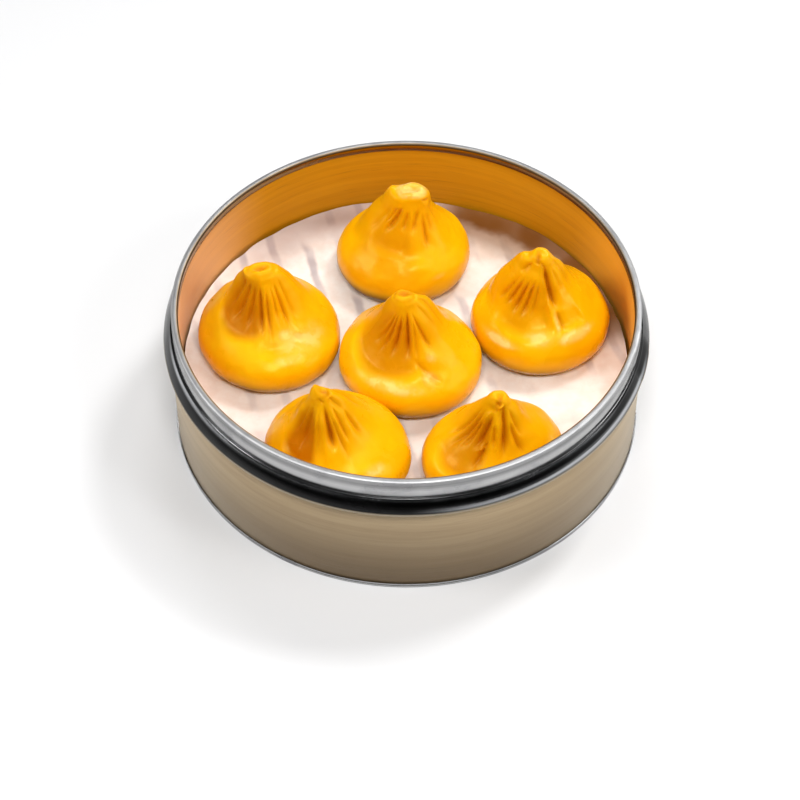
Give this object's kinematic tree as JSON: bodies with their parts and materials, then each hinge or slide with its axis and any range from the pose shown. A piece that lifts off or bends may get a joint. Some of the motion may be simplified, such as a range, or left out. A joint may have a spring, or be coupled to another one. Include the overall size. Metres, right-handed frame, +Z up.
{
  "type": "steamer basket of soup dumplings",
  "caption": "Round bamboo steamer basket with a steel collar and foot band, a slatted floor under a paper liner, and pleated yellow soup dumplings with pinched topknots.",
  "frame": {"origin": "centre of the basket's flat underside", "axes": "+Z up out of the basket, -Y towards the front of the picture, +X to its right"},
  "size_m": [0.1854, 0.1854, 0.0729],
  "materials": {
    "bamboo_outside": "matt, grey-beige steamed bamboo",
    "bamboo_inside": "satin, warm orange-brown bamboo",
    "steel": "bright rolled stainless sheet",
    "paper": "matt, thin and slightly see-through",
    "dough": "moist, soft sheen"
  },
  "bodies": {
    "root": {"outer_hoop": "bamboo_outside", "inner_hoop": "bamboo_inside", "support_hoop": "bamboo_inside", "steel_collar": "steel", "foot_band": "steel", "liner": "paper", "slat_01": "bamboo_inside", "slat_02": "bamboo_inside", "slat_03": "bamboo_inside", "slat_04": "bamboo_inside", "slat_05": "bamboo_inside", "slat_06": "bamboo_inside", "slat_07": "bamboo_inside", "slat_08": "bamboo_inside", "slat_09": "bamboo_inside", "slat_10": "bamboo_inside", "slat_11": "bamboo_inside", "slat_12": "bamboo_inside", "slat_13": "bamboo_inside", "batten_1": "bamboo_inside", "batten_2": "bamboo_inside", "dumpling_back": "dough", "dumpling_middle": "dough", "dumpling_left": "dough", "dumpling_right": "dough", "dumpling_front_left": "dough", "dumpling_front_right": "dough"}
  },
  "joints": []
}
